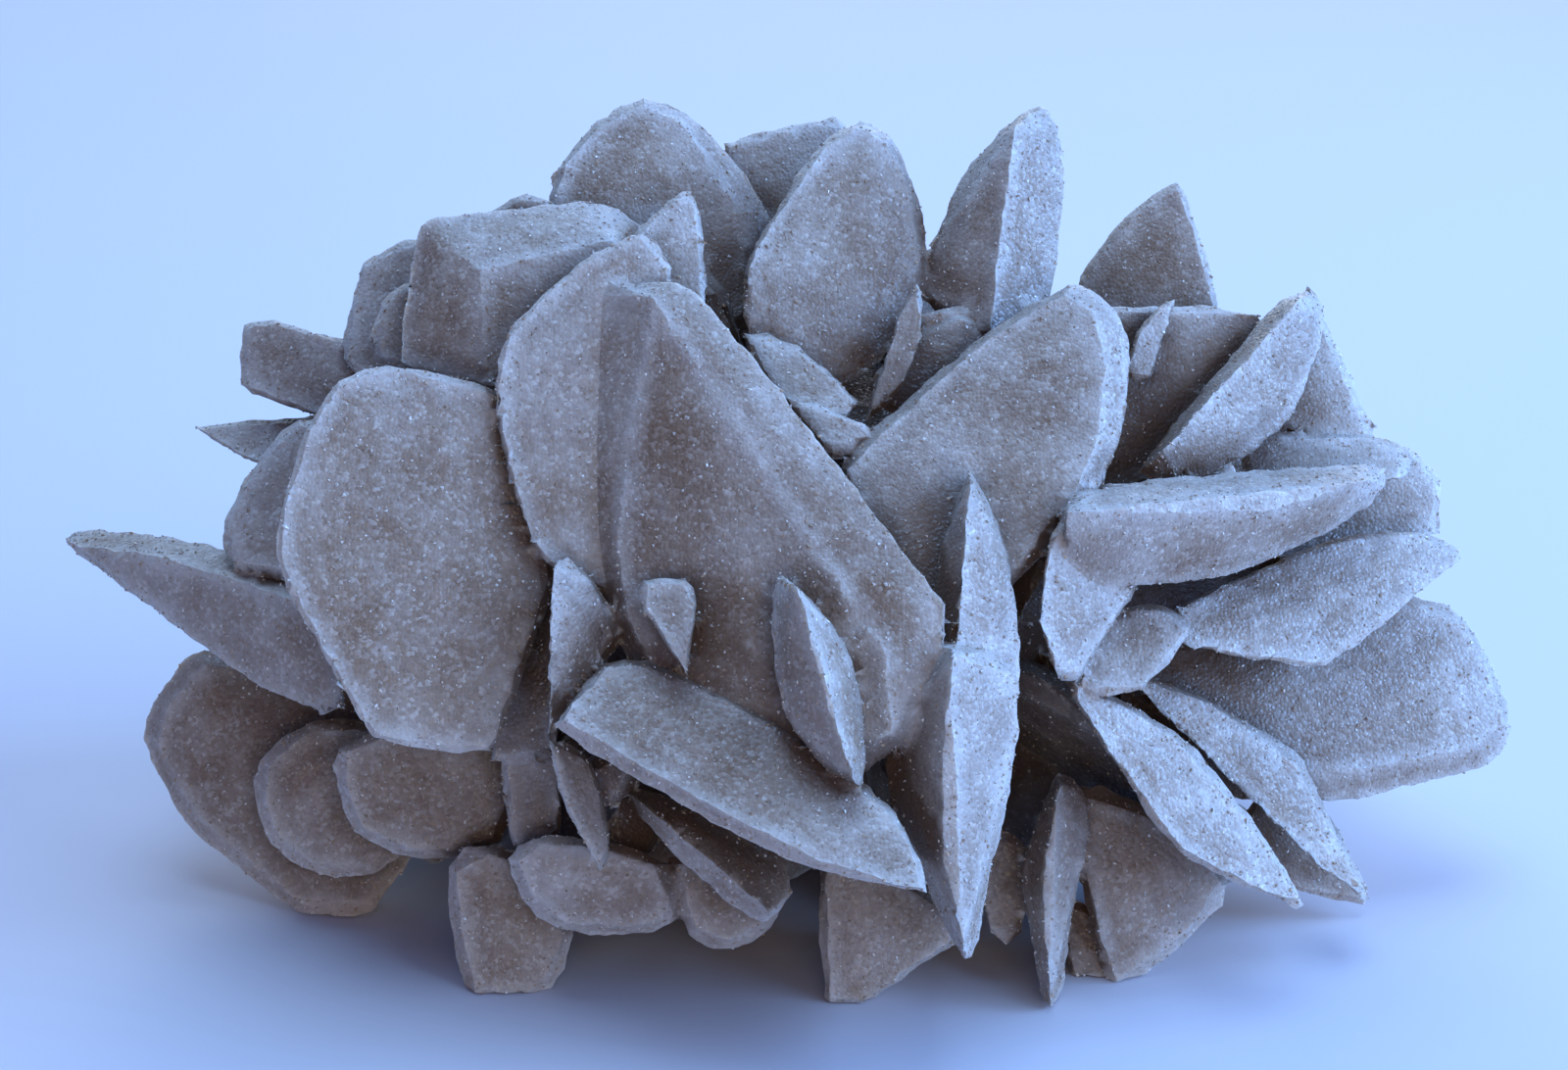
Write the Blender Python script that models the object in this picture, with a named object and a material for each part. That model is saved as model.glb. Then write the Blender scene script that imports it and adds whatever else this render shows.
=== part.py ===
"""Desert rose: a cluster of sandy gypsum crystals grown together, modelled as one solid.

Run with: blender --background --python part.py

Frame: metres, +Z up, the rose rests on z = 0 with the middle of its box over the origin, and its
showing side faces -Y. The crystals of the showing side are drawn in millimetres as they look from
one viewing point, on a plane through the aim point that faces the viewer. Each drawing is carried
along the lines of sight on to its crystal's own plane. The crystals of the far side, the crown and
the underside are blades that stand out from the heart of the rose.
"""

import math
import random
from dataclasses import dataclass

import bmesh
import bpy
from mathutils import Matrix, Vector, noise

MM = 0.001

# The viewing point: how far it looks down, its distance and what it looks at, in mm.
VIEW_PITCH = math.radians(20.0)
VIEW_DISTANCE = 375.0
AIM = Vector((0.0, 0.0, 45.0))

# The view's own axes in the world: to the right, up the drawing and towards the viewer.
RIGHT = Vector((1.0, 0.0, 0.0))
UP = Vector((0.0, math.sin(VIEW_PITCH), math.cos(VIEW_PITCH)))
TOWARDS = Vector((0.0, -math.cos(VIEW_PITCH), math.sin(VIEW_PITCH)))

# The sandy heart that the crystals grow from, hidden behind them, in mm.
HEART_MIDDLE = Vector((0.0, 6.0, 40.0))
HEART_RADII = Vector((56.0, 30.0, 30.0))
HEART_LUMP = 3.0
HEART_LUMP_SPAN = 24.0
HEART_SUBDIVISIONS = 2

# A midpoint between two corners is pushed out so that the rim runs in a smooth line.
MIDPOINT_OUT = 1.0 / 16.0
GREATEST_INSET = 0.8
BACK_BEVEL = 5.0

# The blades that are not drawn: corners of the rim, and how uneven it is.
BLADE_CORNERS = 10
BLADE_UNEVEN = 0.07
BLADE_SEED = 11

# A blade's two sides, as a share of its size and of its thickness: one flat almost to the rim,
# the other sloping down to it.
FLAT_SIDE_SHARE = 0.93
FLAT_SIDE_RISE = 0.25
SLOPED_SIDE_SHARE = 0.66
SLOPED_SIDE_RISE = -0.75

# The smaller crystal that ties a drawn plate to the heart, edge on behind it.
TIE_CORNERS = 6
TIE_DEPTH_SHARE = 0.7
TIE_WIDTH_SHARE = 0.6
TIE_THICK = 7.0

# Triangles of one flat face turn against each other by less than this, and are merged.
FLAT_TURN = math.radians(0.1)

CUT_SIZE = 400.0
CUT_HEIGHT = 60.0

SANDY_GYPSUM = (0.42, 0.33, 0.25, 1.0)
SANDY_ROUGHNESS = 0.8


@dataclass(frozen=True)
class Plate:
    """A crystal drawn from the viewing point, in mm to the right of the aim point and above it.

    outline: corners of its rim, in order.
    near: how far its middle stands from the aim point towards the viewer.
    right_back, up_back: how fast its plane falls away to the right and up the drawing.
    front, back: height of its two faces over the rim's plane.
    bevel: width of the slope between rim and front face.
    face: corners of the front face, or of the ridge it narrows to, where bevel doesn't give them.
    tied: whether a smaller crystal stands behind it, edge on, and ties it to the heart.
    """

    name: str
    outline: tuple
    near: float
    right_back: float = 0.0
    up_back: float = 0.0
    front: float = 1.0
    back: float = 3.5
    bevel: float = 0.8
    face: tuple = ()
    tied: bool = False


@dataclass(frozen=True)
class Blade:
    """A crystal that stands out from the heart, in mm and degrees.

    around: compass turn of the way it points, 0 along +X and 90 along +Y.
    climb: how steeply it points up.
    reach: how far its tip is from the middle of the heart.
    length, width: size of its rim along the way it points and across.
    roll: turn of its plane about that way, 0 when it stands upright.
    thick: thickness in its middle.
    """

    around: float
    climb: float
    reach: float
    length: float
    width: float
    roll: float
    thick: float = 7.0


LEFT_PLATES = (
    Plate("broad_left",
          ((-57, 20), (-51, 22), (-45, 21), (-37, 19), (-31, 12), (-29, -5), (-31, -12),
           (-34, -20), (-37, -28), (-46, -27.5), (-52.5, -26), (-57, -19), (-62, -10),
           (-65, -3), (-64.5, 4), (-61, 14)),
          tied=True, near=35, right_back=0.25, up_back=0.12, back=6),
    Plate("spear",
          ((-92, -0.5), (-87.5, 1), (-77.5, 0), (-70, -2), (-58, -6), (-56, -22),
           (-61, -22), (-68, -19), (-75, -13.5), (-83, -8), (-88, -4.5)),
          tied=True, near=10, right_back=-0.55, up_back=0.2, front=4, back=4,
          face=((-91, -1), (-82.5, -2), (-75, -4), (-60, -9))),
    Plate("dark_left",
          ((-62, 15), (-66, 11.5), (-70, 6), (-72, 0), (-70, -4), (-58, -6), (-52, 3), (-54, 14)),
          tied=True, near=16, right_back=-0.35, up_back=0.3),
    Plate("left_point",
          ((-75, 13.5), (-74, 14.2), (-65, 15), (-54, 15), (-54, 6), (-64, 7.5), (-71, 10.5)),
          tied=True, near=-2, right_back=-0.35, up_back=0.6),
    Plate("left_back_round",
          ((-69.5, 26), (-68.5, 27.2), (-65, 27.7), (-57, 25), (-46, 22), (-46, 12), (-57, 14),
           (-65.5, 17), (-69.5, 19)),
          near=0, right_back=-0.35, up_back=0.2, back=5),
    Plate("left_back_high",
          ((-56.5, 22), (-56, 28), (-54.5, 31), (-54, 35), (-50, 37), (-45, 38.5), (-34, 36),
           (-34, 18), (-48, 16)),
          near=4, right_back=-0.25, up_back=0.3, back=5),
    Plate("left_back_low",
          ((-52, 22), (-52, 29), (-50, 31.5), (-47, 32.5), (-40, 31), (-38, 20)),
          near=13.5, right_back=-0.1, up_back=0.2),
    Plate("left_crest",
          ((-38, 40), (-36.5, 42.3), (-34, 43.8), (-31.5, 43.6), (-29.5, 42.5), (-28, 38)),
          tied=True, near=9, right_back=-0.1, up_back=0.2),
    Plate("thick_top_left",
          ((-49, 22), (-48, 31), (-47.5, 38), (-45.5, 40.5), (-41, 41.2), (-24.5, 43),
           (-19, 40), (-14, 35), (-16, 24), (-28, 16), (-38, 17)),
          near=18, right_back=0.1, up_back=0.2, front=5, back=6,
          face=((-38, 19), (-38.8, 33.9), (-30, 35.5), (-22, 37.9), (-18, 34), (-18, 26),
                (-28, 18))),
    Plate("upright_left",
          ((-18, 39), (-21, 37.8), (-25, 36), (-31, 31), (-36, 25.5), (-37.2, 19), (-36.5, 12),
           (-34.5, 5), (-32.5, -1), (-29.5, -4.5), (-22, -8), (-16, 0), (-15, 18), (-14, 34)),
          near=30.8, right_back=0.18, up_back=0.15, back=5),
    Plate("small_top_left",
          ((-20, 37), (-17.5, 40.5), (-13, 44), (-11, 43), (-10, 38), (-10, 28), (-18, 26)),
          near=19, right_back=0.2, up_back=0.25),
    Plate("low_left_shell",
          ((-74, -14.5), (-77.5, -17), (-80.5, -21), (-82, -26), (-79.5, -32), (-76, -37.5),
           (-69, -43), (-61, -49), (-52, -48), (-44, -32), (-56, -17)),
          near=-1, right_back=-0.15, up_back=0.05, front=1.5, back=7, bevel=2),
    Plate("low_left_disc",
          ((-57, -23), (-62.5, -24.5), (-67, -28.5), (-68, -34), (-65.5, -40), (-60, -43.5),
           (-52, -43.5), (-45, -36), (-46, -25)),
          near=8, right_back=-0.1, up_back=0.05, front=1.2, back=6, bevel=1.5),
    Plate("low_left_front",
          ((-57, -27), (-57.2, -32), (-55, -38), (-49, -41.2), (-42.5, -41.7), (-36, -39.5),
           (-33, -30), (-36, -24), (-46, -23)),
          near=17, up_back=-0.1, front=1.5, back=7, bevel=1.2),
)

MIDDLE_PLATES = (
    Plate("great_slant",
          ((-25, 31), (-20, 32.2), (-14, 32.5), (-10, 30.2), (-5, 24.5), (2.5, 15), (9, 6),
           (15.5, -2.5), (21, -9), (20, -16), (16, -27), (3, -32), (-14, -25),
           (-22, -12), (-26, 0), (-26, 16)),
          near=36.5, right_back=-0.28, up_back=0.12, front=3, back=6,
          face=((-16.8, 30.2), (-15.8, 28.5), (-3.2, 9.2), (6, -5), (13, -15.5),
                (13.5, -25.5), (3, -30.5), (-13, -23.5), (-20, -11), (-21.5, -2), (-20, 12))),
    Plate("hanging_point",
          ((-18.2, -5.5), (-12.5, -5.2), (-10.8, -8.5), (-11.2, -13), (-12.2, -18.4),
           (-13.9, -15), (-16.5, -12.3), (-18.6, -9)),
          near=42.5, right_back=-0.1, up_back=0.3, back=6),
    Plate("middle_ridge",
          ((0, -4.8), (-2, -7), (-1.5, -17), (0, -23.5), (4, -29), (9.3, -32.3),
           (10.8, -30.5), (10.3, -22), (8, -13.5), (4, -8.5)),
          near=47, right_back=0.1, up_back=0.2, front=6, back=12,
          face=((1.5, -6.5), (4.5, -14), (6, -23.5), (9.2, -31.5))),
    Plate("flat_slant",
          ((-29.2, -23.8), (-27.5, -21), (-23, -16), (-17, -15.8), (-10, -19), (-1, -23.5),
           (4, -28), (10, -31.5), (14.5, -35), (17.5, -41), (18.5, -46), (14, -44.8),
           (5, -43.5), (-7.5, -38), (-20, -31), (-29, -25.2)),
          near=46, right_back=0.05, up_back=0.7, front=2, back=7,
          face=((-28.4, -23.4), (-26.8, -20.9), (-22.6, -16.6), (-17, -16.4), (-10, -19.6),
                (-1.2, -24.1), (3.8, -28.5), (9.6, -32.1), (14, -35.5), (16.9, -41),
                (17.9, -45.4), (14, -43.6), (5, -41.6), (-7, -35.8), (-19.5, -28.8))),
    Plate("left_upright_low",
          ((-29.8, -3.5), (-25, -4.5), (-22, -9), (-20.5, -13), (-24, -18.5), (-27.5, -23),
           (-30.2, -25)),
          near=37.6, right_back=0.7, back=5),
    Plate("low_point",
          ((-30, -26), (-25, -28), (-22.5, -33.5), (-22, -40.5), (-23.5, -43.2), (-26, -38.7),
           (-28.7, -33.5)),
          tied=True, near=38, right_back=0.5, back=6),
    Plate("recess_left",
          ((-36, -24), (-29, -24), (-28.5, -38), (-35, -40)),
          tied=True, near=24, right_back=-0.2, back=5),
    Plate("recess_wall",
          ((-34, -3), (-29.5, -4), (-28.5, -22), (-30, -28), (-37.5, -29), (-37, -16)),
          near=25, right_back=-0.3, back=8),
    Plate("foot_round",
          ((-35.5, -41), (-32, -38.5), (-26, -38), (-15, -41.5), (-13, -47.5), (-14.5, -50),
           (-20, -51.6), (-29, -50.7), (-34, -45.8)),
          tied=True, near=28, up_back=-0.25, front=1.5, back=8, bevel=1.5),
    Plate("foot_front_left",
          ((-43, -42), (-38, -39), (-30, -42), (-26.5, -51), (-29.5, -58), (-34, -60),
           (-40, -60), (-42.5, -52)),
          tied=True, near=20, up_back=-0.05, front=1.5, back=8, bevel=1.5),
    Plate("under_slant",
          ((-20.6, -32.5), (-14, -33), (-7, -37), (-1, -41.5), (1.5, -45.5), (-2, -49.7),
           (-5.5, -48.5), (-11.5, -43.5), (-17, -38)),
          tied=True, near=34, up_back=0.3, front=3, back=7,
          face=((-18.5, -34), (-11, -39.5), (-5, -44.5), (-1.8, -48.5))),
    Plate("under_slant_low",
          ((-15, -41), (-7.5, -40), (0, -45), (-1.5, -50.5), (-7, -53.2), (-12.5, -51.3)),
          tied=True, near=27, up_back=-0.1, front=1.5, back=8, bevel=1.5),
    Plate("foot_middle",
          ((4.5, -41), (13, -42), (22.5, -48), (22, -52.2), (12.5, -58), (8, -62), (5, -60.5)),
          tied=True, near=22, up_back=-0.05, front=1.5, back=9, bevel=1.2),
    Plate("upper_wedge",
          ((-5.5, 26), (2.5, 24), (9, 18), (9.7, 16.5), (6, 14), (-1, 17)),
          tied=True, near=24, up_back=0.5),
    Plate("lower_wedge",
          ((-0.5, 18), (10, 14.7), (10.7, 13), (6, 9.5)),
          tied=True, near=28, up_back=0.3),
)

TOP_PLATES = (
    Plate("top_left_tall",
          ((-30.2, 42.5), (-28.2, 48), (-24.5, 52.7), (-18, 56.2), (-12, 54), (-7.5, 49.5),
           (-1.5, 41), (-2, 28), (-12, 22), (-26, 28)),
          near=4, right_back=0.2, up_back=0.25, front=1.8, back=5,
          face=((-29.5, 42.3), (-27.6, 47.6), (-24, 52), (-18, 55.3), (-13.5, 53.3),
                (-10, 48.5), (-5, 40.5), (-5, 28.5), (-13, 23.5), (-25.5, 28.5))),
    Plate("top_behind",
          ((-8, 50), (-1, 51.2), (4.5, 53.2), (8, 52.5), (12, 42), (0, 34), (-6, 38)),
          tied=True, near=-8, right_back=0.1, up_back=0.2, back=5),
    Plate("top_middle",
          ((-5.5, 31), (-4.5, 36), (-0.5, 43), (4.5, 50.2), (9.5, 53.2), (14, 51), (17, 44.5),
           (18.6, 37), (17, 27), (6, 18), (-4, 24)),
          tied=True, near=11.5, right_back=0.3, up_back=0.3, front=2, back=5,
          face=((-4.4, 34.5), (9, 33.5), (17.5, 36), (16.2, 44), (13.5, 50), (9.5, 52.3),
                (5, 49.3), (0.2, 42.5), (-3.8, 36))),
    Plate("top_ridge",
          ((17.3, 31), (19.5, 39), (22.5, 46), (26, 50.2), (29.5, 53.5), (32.5, 54.9),
           (34.8, 53.6), (35.9, 50), (36.1, 44), (34.5, 34.5), (33, 24), (24, 22)),
          near=8, right_back=-0.05, up_back=0.2, front=6, back=6,
          face=((29.6, 52.6), (28.3, 46), (27.3, 36), (26.3, 26))),
    Plate("right_triangle",
          ((37, 31), (40.5, 37.5), (45, 42.5), (50.3, 45.2), (52.7, 40), (55.7, 29), (54, 18),
           (40, 20)),
          near=-1, right_back=-0.1, up_back=0.2, back=5),
    Plate("back_shelf",
          ((17, 28.4), (30, 29.4), (46, 29.2), (61, 28.5), (60, 18), (53, 8), (40, 5),
           (26, 10), (18, 19)),
          near=13, right_back=0.15, up_back=0.15, back=5),
    Plate("small_sparkle",
          ((50, 30.2), (48, 29.5), (44.8, 26), (43.2, 20.5), (46.8, 19.5), (48.6, 25),
           (49.8, 28.8)),
          near=15, right_back=0.3, up_back=0.2),
    Plate("light_spike",
          ((17, 32.2), (18.2, 27), (15.5, 19), (10, 14), (12.5, 22.5), (14.8, 29)),
          near=21, right_back=-0.3, up_back=0.2, back=5),
    Plate("brown_fan",
          ((11, 17), (13, 23), (20, 27.7), (23.5, 28.2), (26, 25), (20, 14)),
          near=17, right_back=0.1, up_back=0.3, back=5),
)

RIGHT_PLATES = (
    Plate("sparkling_right",
          ((7, 8.5), (12.5, 14.2), (20, 20.3), (25.5, 26), (35.5, 32), (40, 31.3),
           (43.6, 27), (44.6, 22), (43.3, 12), (40, 5), (35, 1.5), (31, -3), (24, -13),
           (12, -8)),
          near=27.5, right_back=0.0, up_back=0.35, front=2.5, back=6,
          face=((8, 8.3), (13, 13.6), (20.4, 19.6), (26, 25.2), (35.5, 31), (39.3, 29),
                (41.3, 22), (40.4, 13), (37.5, 6.5), (33.5, 2), (30, -3), (24, -12),
                (13, -7.3))),
    Plate("front_ridge_high",
          ((23.5, 8.6), (25, 7), (28, 1), (30, -8), (30.4, -18), (29, -23), (20, -18),
           (18.7, -7), (20.7, 2)),
          near=37.5, right_back=0.05, up_back=0.15, front=5, back=14,
          face=((23.6, 7.5), (23, -2), (22, -14))),
    Plate("front_ridge_low",
          ((18, -15.5), (22, -13), (30, -18), (29.3, -32), (26.3, -44), (25, -52),
           (23, -54.2), (20, -48.5), (13.2, -34), (13.3, -25.5)),
          near=41, right_back=0.05, up_back=-0.05, front=7, back=15,
          face=((21.5, -15), (20, -29), (20.3, -42), (23, -53))),
    Plate("right_bar",
          ((35, 3), (39, 6.2), (50, 7.6), (69, 9.2), (77, 8.6), (74.5, 3), (64, -2.7),
           (56, -5.7), (44, -7), (36, -6)),
          near=25, right_back=0.45, up_back=0.1, front=6, back=8,
          face=((36, 3), (50, 2.7), (62, 3), (74.5, 7))),
    Plate("right_curl",
          ((35.5, 3), (33, -3.5), (32.4, -12), (35, -18.3), (38, -18.3), (41, -12),
           (46, -6), (42, 1)),
          near=33, right_back=0.75, back=5),
    Plate("right_small_round",
          ((37, -14), (39.5, -11), (44, -8.6), (49, -8.8), (52, -12), (46, -20), (38, -20)),
          near=28, right_back=0.2, up_back=0.5, back=6),
    Plate("right_leaf",
          ((47, -12), (50, -9), (57.5, -5.3), (70, 0), (81, 0.7), (85, -1), (86.7, -3),
           (80, -7.6), (75, -12.5), (69, -17.2), (61, -16.2), (50, -14)),
          near=15.5, right_back=0.4, up_back=0.45, back=5),
    Plate("far_right",
          ((42, -15), (62, -10), (80, -7.5), (87.5, -11), (91.3, -18), (93, -25), (89, -30),
           (75, -33.2), (68, -34.5), (46, -31)),
          near=3, right_back=0.35, up_back=0.3, front=2, back=6,
          face=((44, -15.8), (62, -10.8), (79.8, -8.3), (86.9, -11.6), (90.5, -18.2),
                (92, -24), (88, -27), (75, -29.5), (68, -30.5), (48, -28))),
    Plate("right_slant_front",
          ((35.5, -18), (41, -19.8), (49, -24), (54.5, -29), (61.5, -38), (66.7, -47.3),
           (62.5, -46.7), (51, -41.2), (45, -34), (39, -24.5)),
          near=28.5, right_back=0.5, up_back=0.35, front=1.5, back=6, bevel=1.2),
    Plate("right_slant_back",
          ((43, -16.5), (54, -20.5), (62.5, -25.5), (66.5, -28.5), (70, -37), (74.3, -45),
           (74.5, -47.2), (69, -43.2), (57.5, -31), (46, -21)),
          tied=True, near=17.5, right_back=0.5, up_back=0.3, front=1.5, back=6, bevel=1.2),
    Plate("right_foot_tip",
          ((60, -33), (69, -34.5), (73.2, -42), (74.4, -47), (66, -46), (58, -40)),
          tied=True, near=4, right_back=0.2, back=6),
    Plate("foot_ridge",
          ((35, -30), (33, -33), (30, -42), (30.5, -47), (33, -61), (35.8, -58),
           (37.7, -44), (39.2, -38), (38.2, -32)),
          near=23, right_back=0.1, up_back=-0.05, front=4, back=12,
          face=((35, -32), (33, -42), (33, -50), (34, -60))),
    Plate("foot_rough",
          ((36, -32), (47.5, -35), (57, -44), (53.5, -50), (48, -55), (42, -58),
           (38.5, -49)),
          near=17.5, right_back=0.15, up_back=-0.1, front=1.5, back=9, bevel=1.2),
    Plate("foot_splinter",
          ((35, -46), (41, -49), (43.5, -58.5), (37, -58.5)),
          near=16, back=7),
    Plate("foot_shadow",
          ((24, -38), (31, -39), (30.5, -51), (26, -51)),
          tied=True, near=20, back=8),
    Plate("right_fan",
          ((45, 8), (50, 15), (61, 28.2), (65.5, 31.2), (68, 31), (69.2, 26), (66, 17),
           (61, 11), (51, 6)),
          near=15, right_back=0.3, up_back=0.3, front=4, back=6,
          face=((48.5, 11), (53, 16), (59.5, 22.5), (65.7, 30))),
    Plate("right_fan_behind",
          ((68, 29.5), (70.7, 23), (74, 16), (75, 11), (60, 6), (58, 20)),
          near=4, right_back=0.2, up_back=0.3, back=5),
    Plate("right_ledge",
          ((58, 13), (74.5, 13), (79.5, 11), (79, 7), (60, 5)),
          near=9, right_back=0.3, up_back=0.7),
    Plate("far_right_high",
          ((77, 11.3), (80.5, 11), (84, 7), (83.7, 2), (82, -1), (62, -2), (62, 9)),
          tied=True, near=-1, right_back=0.3, up_back=0.2, back=5),
)

DRAWN_PLATES = LEFT_PLATES + MIDDLE_PLATES + TOP_PLATES + RIGHT_PLATES

BACK_BLADES = (
    Blade(100, 8, 52, 58, 56, 62),
    Blade(62, 20, 58, 58, 50, -35),
    Blade(128, 22, 60, 56, 48, 40),
    Blade(84, 38, 54, 50, 46, -62),
    Blade(40, 6, 68, 56, 48, 28),
    Blade(146, 2, 70, 56, 48, -30),
    Blade(22, 12, 70, 50, 38, -18),
    Blade(158, 14, 70, 48, 38, 22),
    Blade(70, -14, 54, 52, 50, 18),
    Blade(112, -16, 54, 52, 50, -24),
    Blade(38, -20, 62, 50, 44, -48),
    Blade(140, -22, 62, 50, 44, 52),
    Blade(8, -6, 82, 50, 40, 50),
    Blade(174, -8, 80, 48, 40, -52),
    Blade(52, 34, 54, 46, 38, 14),
    Blade(120, 44, 56, 46, 40, -12),
    Blade(90, 4, 50, 54, 44, -5),
    Blade(78, 24, 55, 52, 40, 82),
    Blade(28, -2, 72, 44, 36, 84),
    Blade(152, 10, 72, 44, 38, 78),
)

CROWN_BLADES = (
    Blade(44, 58, 40, 38, 30, 30),
    Blade(150, 62, 50, 44, 38, -40),
    Blade(90, 74, 43, 42, 38, 75),
    Blade(205, 58, 50, 40, 34, 20),
    Blade(-24, 50, 38, 36, 30, -24),
    Blade(10, 14, 64, 44, 34, 30),
    Blade(170, 30, 58, 42, 32, -34),
)

SIDE_BLADES = (
    Blade(-12, 0, 70, 44, 32, 40),
    Blade(196, 0, 68, 44, 34, -16),
    Blade(-30, -24, 68, 44, 36, 40),
    Blade(206, -30, 64, 42, 36, -36),
    Blade(-60, -6, 38, 36, 32, 70),
    Blade(-118, 2, 36, 36, 32, 64),
    Blade(-90, -20, 36, 36, 32, -70),
    Blade(-148, 14, 50, 42, 34, 24),
    Blade(-42, 16, 46, 42, 34, -30),
)

UNDER_BLADES = (
    Blade(60, -46, 60, 46, 46, 20),
    Blade(122, -48, 60, 46, 46, -26),
    Blade(20, -38, 70, 46, 38, 62),
    Blade(162, -38, 70, 46, 38, -58),
    Blade(90, -62, 52, 42, 44, 84),
    Blade(-30, -50, 56, 42, 38, -12),
    Blade(-150, -50, 56, 42, 38, 16),
    Blade(-90, -56, 42, 38, 38, 80),
)

BLADES = BACK_BLADES + CROWN_BLADES + SIDE_BLADES + UNDER_BLADES


def clear_scene():
    """Removes every object that the scene starts with."""
    for found in list(bpy.data.objects):
        bpy.data.objects.remove(found, do_unlink=True)


def new_collection(name):
    """Makes a collection in the scene."""
    made = bpy.data.collections.new(name)
    bpy.context.scene.collection.children.link(made)
    return made


def middle_of(corners):
    """Gives the mean of flat corners."""
    return sum((Vector(corner) for corner in corners), Vector((0.0, 0.0))) / len(corners)


def rounded(corners):
    """Puts a midpoint on the smooth line between each two corners of a closed outline."""
    made = []
    count = len(corners)
    for place in range(count):
        before, here, after, beyond = (Vector(corners[(place + step) % count])
                                       for step in (-1, 0, 1, 2))
        made.append(here)
        made.append((here + after) / 2 + (here + after - before - beyond) * MIDPOINT_OUT)
    return made


def inset(corners, width):
    """Draws corners in towards their middle by a width."""
    middle = middle_of(corners)
    made = []
    for corner in corners:
        spoke = middle - Vector(corner)
        share = min(width / max(spoke.length, width), GREATEST_INSET)
        made.append(Vector(corner) + spoke * share)
    return made


class Sheet:
    """The plane of a drawn plate, on to which drawings are carried along the lines of sight."""

    def __init__(self, plate):
        drawn_middle = middle_of(plate.outline)
        self.right_back = plate.right_back
        self.up_back = plate.up_back
        shrink = (VIEW_DISTANCE - plate.near) / VIEW_DISTANCE
        slide = plate.right_back * drawn_middle.x + plate.up_back * drawn_middle.y
        self.level = plate.near + slide * shrink
        self.steepness = math.sqrt(1.0 + plate.right_back ** 2 + plate.up_back ** 2)

    def lift(self, spot, height):
        """Carries a drawn spot on to the plane that lies a height in front of this one."""
        level = self.level + height * self.steepness
        fall = VIEW_DISTANCE - self.right_back * spot[0] - self.up_back * spot[1]
        shrink = (VIEW_DISTANCE - level) / fall
        towards = VIEW_DISTANCE * (1.0 - shrink)
        place = AIM + RIGHT * (spot[0] * shrink) + UP * (spot[1] * shrink) + TOWARDS * towards
        return place


def plate_points(plate):
    """Gives the points that a drawn plate's flat faces run between, in mm.

    Its far side has every second corner only.
    """
    sheet = Sheet(plate)
    rim = rounded(plate.outline)
    face = plate.face or inset(plate.outline, plate.bevel)
    back = inset(plate.outline, BACK_BEVEL)[::2]
    points = [sheet.lift(spot, 0.0) for spot in rim]
    points += [sheet.lift(spot, plate.front) for spot in face]
    points += [sheet.lift(spot, -plate.back) for spot in back]
    return points


def disc_points(middle, spokes, thickness):
    """Gives the points of a disc: a rim of spokes round its middle, and a face on each side.

    thickness: which way the flat side faces, as long as the disc is thick.
    """
    points = [middle + spoke for spoke in spokes]
    for share, rise in ((FLAT_SIDE_SHARE, FLAT_SIDE_RISE), (SLOPED_SIDE_SHARE, SLOPED_SIDE_RISE)):
        points += [middle + spoke * share + thickness * rise for spoke in spokes[::2]]
    return points


def tie_points(plate):
    """Gives the points of the smaller crystal between a drawn plate and the heart, in mm."""
    sheet = Sheet(plate)
    head = sheet.lift(middle_of(plate.outline), 0.0)
    corners = [sheet.lift(corner, 0.0) - head for corner in plate.outline]
    foot = head + (HEART_MIDDLE - head) * TIE_DEPTH_SHARE
    along = (head - foot) / 2
    widest = max(corners, key=lambda corner: corner.length)
    across = widest - widest.project(along)
    across *= TIE_WIDTH_SHARE
    thickness = along.cross(across).normalized() * TIE_THICK
    angles = [math.tau * (place + 0.5) / TIE_CORNERS for place in range(TIE_CORNERS)]
    spokes = [along * math.cos(angle) + across * math.sin(angle) for angle in angles]
    return disc_points((head + foot) / 2, spokes, thickness)


def blade_points(blade, dice):
    """Gives the points of a blade that stands out from the heart, in mm."""
    around = math.radians(blade.around)
    climb = math.radians(blade.climb)
    out = Vector((math.cos(around) * math.cos(climb), math.sin(around) * math.cos(climb),
                  math.sin(climb)))
    level = out.cross(Vector((0.0, 0.0, 1.0))).normalized()
    turned = Matrix.Rotation(math.radians(blade.roll), 3, out)
    across = turned @ level.cross(out)
    normal = turned @ level
    middle = HEART_MIDDLE + out * (blade.reach - blade.length / 2)
    rim = []
    for place in range(BLADE_CORNERS):
        angle = math.tau * place / BLADE_CORNERS
        size = 1.0 + dice.uniform(-BLADE_UNEVEN, BLADE_UNEVEN)
        along = math.cos(angle) * blade.length / 2 * size
        aside = math.sin(angle) * blade.width / 2 * size
        rim.append(out * along + across * aside)
    return disc_points(middle, rim, normal * blade.thick)


def crystal(name, points, collection):
    """Makes one crystal: the flat faces that run between its points."""
    mesh = bpy.data.meshes.new(name)
    shape = bmesh.new()
    for point in points:
        shape.verts.new(point * MM)
    hull = bmesh.ops.convex_hull(shape, input=shape.verts)
    spare = set(hull["geom_interior"]) | set(hull["geom_unused"])
    bmesh.ops.delete(shape, geom=[part for part in spare if isinstance(part, bmesh.types.BMVert)],
                     context="VERTS")
    bmesh.ops.dissolve_limit(shape, angle_limit=FLAT_TURN, verts=shape.verts, edges=shape.edges)
    bmesh.ops.recalc_face_normals(shape, faces=shape.faces)
    shape.to_mesh(mesh)
    shape.free()
    made = bpy.data.objects.new(name, mesh)
    collection.objects.link(made)
    return made


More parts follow.
